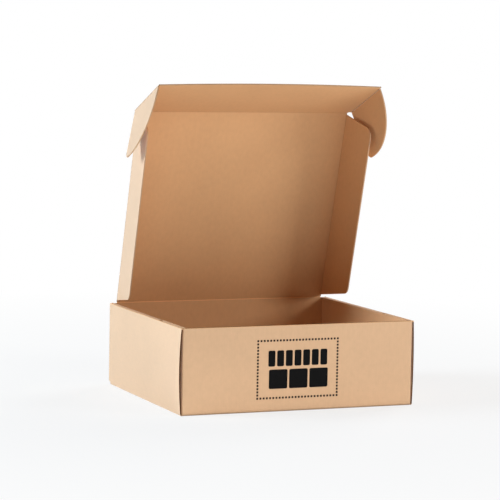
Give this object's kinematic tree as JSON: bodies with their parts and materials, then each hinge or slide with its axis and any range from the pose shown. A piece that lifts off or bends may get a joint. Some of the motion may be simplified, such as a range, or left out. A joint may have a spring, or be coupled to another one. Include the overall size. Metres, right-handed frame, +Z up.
{
  "type": "corrugated mailer box",
  "caption": "Open flat mailing box of corrugated board: tray with rolled double sides, hinged lid with side flaps, tuck flap and ears.",
  "frame": {"origin": "centre of the tray's underside", "axes": "+X to the right seen from the front wall, +Y from the front wall to the hinge, +Z up out of the open tray"},
  "size_m": [0.32, 0.25, 0.3745],
  "materials": {
    "board": "kraft corrugated board, matt"
  },
  "bodies": {
    "tray": {"tray": "board"},
    "lid": {"lid": "board"},
    "side_flap_left": {"side_flap_left": "board"},
    "side_flap_right": {"side_flap_right": "board"},
    "tuck_flap": {"tuck_flap": "board"},
    "ear_left": {"ear_left": "board"},
    "ear_right": {"ear_right": "board"}
  },
  "joints": [
    {"name": "lid_hinge", "type": "hinge", "parent": "tray", "child": "lid", "pos_m": [0, 0.12425, 0.10075], "axis": [-1, 0, 0], "range_deg": [-36, 106]},
    {"name": "side_flap_left_fold", "type": "hinge", "parent": "lid", "child": "side_flap_left", "pos_m": [-0.1369, 0.12425, 0.10075], "axis": [0, 0.2756, -0.9613], "range_deg": [-19.81, 58.31]},
    {"name": "side_flap_right_fold", "type": "hinge", "parent": "lid", "child": "side_flap_right", "pos_m": [0.1369, 0.12425, 0.10075], "axis": [0, -0.2756, 0.9613], "range_deg": [-19.81, 58.31]},
    {"name": "tuck_flap_fold", "type": "hinge", "parent": "lid", "child": "tuck_flap", "pos_m": [0, 0.05625, 0.33789], "axis": [-1, 0, 0], "range_deg": [-10, 52.5]},
    {"name": "ear_left_fold", "type": "hinge", "parent": "tuck_flap", "child": "ear_left", "pos_m": [-0.14165, 0.05625, 0.33789], "axis": [0, 0.9304, -0.3665], "range_deg": [-23.05, 67.85]},
    {"name": "ear_right_fold", "type": "hinge", "parent": "tuck_flap", "child": "ear_right", "pos_m": [0.14165, 0.05625, 0.33789], "axis": [0, -0.9304, 0.3665], "range_deg": [-23.05, 67.85]}
  ],
  "couplings": [
    {"joint": "side_flap_left_fold", "follows": "lid_hinge", "ratio": 0.55},
    {"joint": "side_flap_right_fold", "follows": "lid_hinge", "ratio": 0.55},
    {"joint": "ear_left_fold", "follows": "lid_hinge", "ratio": 0.64},
    {"joint": "ear_right_fold", "follows": "lid_hinge", "ratio": 0.64}
  ]
}
